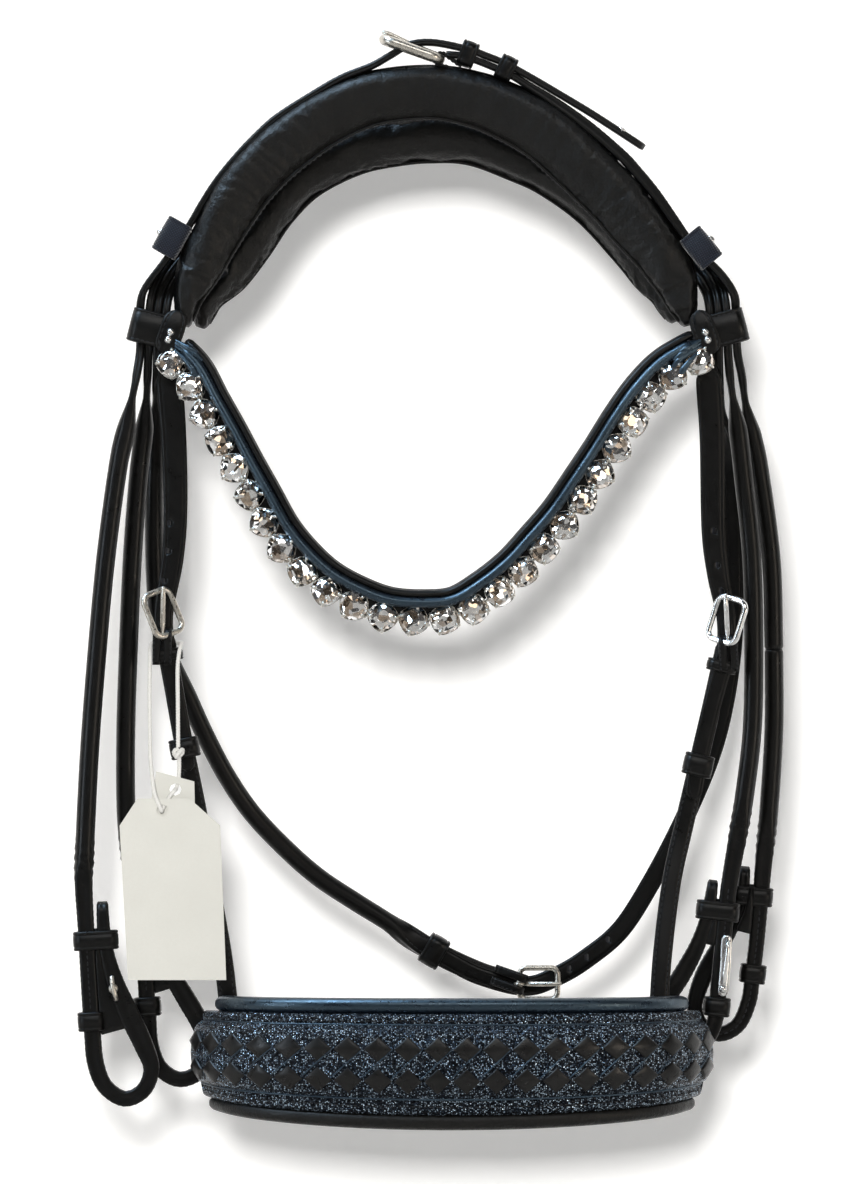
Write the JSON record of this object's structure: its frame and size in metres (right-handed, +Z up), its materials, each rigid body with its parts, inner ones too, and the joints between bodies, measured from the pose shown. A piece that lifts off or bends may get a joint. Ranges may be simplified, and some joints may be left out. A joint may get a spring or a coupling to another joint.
{
  "type": "snaffle bridle",
  "caption": "Black leather bridle with padded crown, curved crystal browband, rolled cheek straps, bit loops, throatlatch and a wide padded glitter noseband, with a blank swing tag.",
  "frame": {"origin": "the poll seat: below the middle of the crown, level with the underside of its rear roll, where a poll or a rack holds the bridle up", "axes": "+Z up, opposite to the way the straps hang; +Y backwards, from the noseband's front to the throatlatch; +X to the right as seen from the front"},
  "size_m": [0.3556, 0.1256, 0.5499],
  "materials": {
    "black_leather": "smooth, half gloss",
    "padding_leather": "soft pebble grain, half gloss",
    "navy_roll": "smooth, half gloss",
    "navy_textile": "matt woven",
    "glitter": "glitter with smooth leather lozenges",
    "steel": "satin",
    "crystal": "cut and polished, in bright cups",
    "card": "matt",
    "cord": "twisted cotton"
  },
  "bodies": {
    "headpiece": {"browband_loop_left": "black_leather", "browband_loop_right": "black_leather", "crown_pad_front": "padding_leather", "crown_pad_rear": "padding_leather", "crown_strap": "black_leather", "noseband_headpiece": "black_leather", "poll_buckle": "steel", "poll_keeper_fixed": "black_leather", "poll_tongue": "steel", "sliphead_buckle_strap": "black_leather", "sliphead_point_strap": "black_leather", "sliphead_tab_left": "navy_textile", "sliphead_tab_right": "navy_textile", "throat_headpiece": "black_leather"},
    "browband": {"browband_roll": "navy_roll", "browband_backing": "black_leather", "crystal_chain": "crystal"},
    "bradoon_left": {"bradoon_cheek_left": "black_leather", "bradoon_keeper_upper_left": "black_leather", "bradoon_keeper_lower_left": "black_leather", "bradoon_stud_left": "steel"},
    "curb_left": {"curb_cheek_left": "black_leather", "curb_keeper_upper_left": "black_leather", "curb_keeper_lower_left": "black_leather"},
    "bradoon_right": {"bradoon_cheek_right": "black_leather", "bradoon_keeper_upper_right": "black_leather", "bradoon_keeper_lower_right": "black_leather"},
    "curb_right": {"curb_cheek_right": "black_leather", "curb_keeper_upper_right": "black_leather", "curb_keeper_lower_right": "black_leather", "curb_stud_right": "steel"},
    "throatlatch": {"throatlatch_buckle_strap": "black_leather", "throatlatch_point_strap": "black_leather", "throatlatch_buckle": "steel", "throatlatch_keeper": "black_leather"},
    "noseband": {"noseband_billet_left": "black_leather", "noseband_billet_right": "black_leather", "noseband_hanger_left": "black_leather", "noseband_hanger_right": "black_leather", "side_buckle_left": "steel", "side_buckle_right": "steel", "hanger_keeper_upper_left": "black_leather", "hanger_keeper_upper_right": "black_leather", "noseband_shell": "glitter", "noseband_pad": "padding_leather", "noseband_roll_upper": "padding_leather", "noseband_roll_lower": "padding_leather", "chin_strap_buckle_side": "black_leather", "chin_strap_point_side": "black_leather", "chin_buckle": "steel", "swing_tag": "card", "small_tag": "card", "tag_cord": "cord"},
    "hanger_keeper_left": {"hanger_keeper_lower_left": "black_leather"},
    "hanger_keeper_right": {"hanger_keeper_lower_right": "black_leather"},
    "poll_keeper": {"poll_keeper_sliding": "black_leather"},
    "side_tongue_left": {"side_tongue_left": "steel"},
    "side_tongue_right": {"side_tongue_right": "steel"},
    "throatlatch_tongue": {"throatlatch_tongue": "steel"},
    "chin_tongue": {"chin_tongue": "steel"}
  },
  "joints": [
    {"name": "browband_swing", "type": "hinge", "parent": "headpiece", "child": "browband", "pos_m": [0, -0.0105, -0.09], "axis": [-1, 0, 0], "range_deg": [0, 25]},
    {"name": "bradoon_left_swing", "type": "hinge", "parent": "headpiece", "child": "bradoon_left", "pos_m": [-0.1703, -0.007, -0.245], "axis": [-1, 0, 0], "range_deg": [0, 15]},
    {"name": "curb_left_swing", "type": "hinge", "parent": "headpiece", "child": "curb_left", "pos_m": [-0.155, 0.0065, -0.245], "axis": [1, 0, 0], "range_deg": [0, 15]},
    {"name": "curb_right_swing", "type": "hinge", "parent": "headpiece", "child": "curb_right", "pos_m": [0.158, 0.0045, -0.245], "axis": [1, 0, 0], "range_deg": [0, 15]},
    {"name": "bradoon_right_swing", "type": "hinge", "parent": "curb_right", "child": "bradoon_right", "pos_m": [0.1684, 0.0175, -0.245], "axis": [1, 0, 0], "range_deg": [0, 15]},
    {"name": "throatlatch_swing", "type": "hinge", "parent": "headpiece", "child": "throatlatch", "pos_m": [0, 0, -0.098], "axis": [1, 0, 0], "range_deg": [0, 20]},
    {"name": "noseband_swing", "type": "hinge", "parent": "headpiece", "child": "noseband", "pos_m": [0, -0.0045, -0.1395], "axis": [-1, 0, 0], "range_deg": [0, 25]},
    {"name": "poll_keeper_slide", "type": "slide", "parent": "headpiece", "child": "poll_keeper", "axis": [0.9015, 0, -0.4327], "range_m": [0, 0.004]},
    {"name": "hanger_keeper_left_slide", "type": "slide", "parent": "noseband", "child": "hanger_keeper_left", "axis": [0.19, 0, -0.9818], "range_m": [0, 0.004]},
    {"name": "hanger_keeper_right_slide", "type": "slide", "parent": "noseband", "child": "hanger_keeper_right", "axis": [-0.2399, 0, -0.9708], "range_m": [0, 0.004]},
    {"name": "side_tongue_left_turn", "type": "hinge", "parent": "noseband", "child": "side_tongue_left", "pos_m": [-0.1376, -0.0082, -0.2364], "axis": [1, 0, 0], "range_deg": [0, 70]},
    {"name": "side_tongue_right_turn", "type": "hinge", "parent": "noseband", "child": "side_tongue_right", "pos_m": [0.1447, -0.0082, -0.2399], "axis": [1, 0, 0], "range_deg": [0, 70]},
    {"name": "throatlatch_tongue_turn", "type": "hinge", "parent": "throatlatch", "child": "throatlatch_tongue", "pos_m": [0.0426, 0.0332, -0.4134], "axis": [0, 0, -1], "range_deg": [0, 70]},
    {"name": "chin_tongue_turn", "type": "hinge", "parent": "noseband", "child": "chin_tongue", "pos_m": [-0.0005, 0.038, -0.444], "axis": [0, 0, 1], "range_deg": [0, 70]}
  ]
}
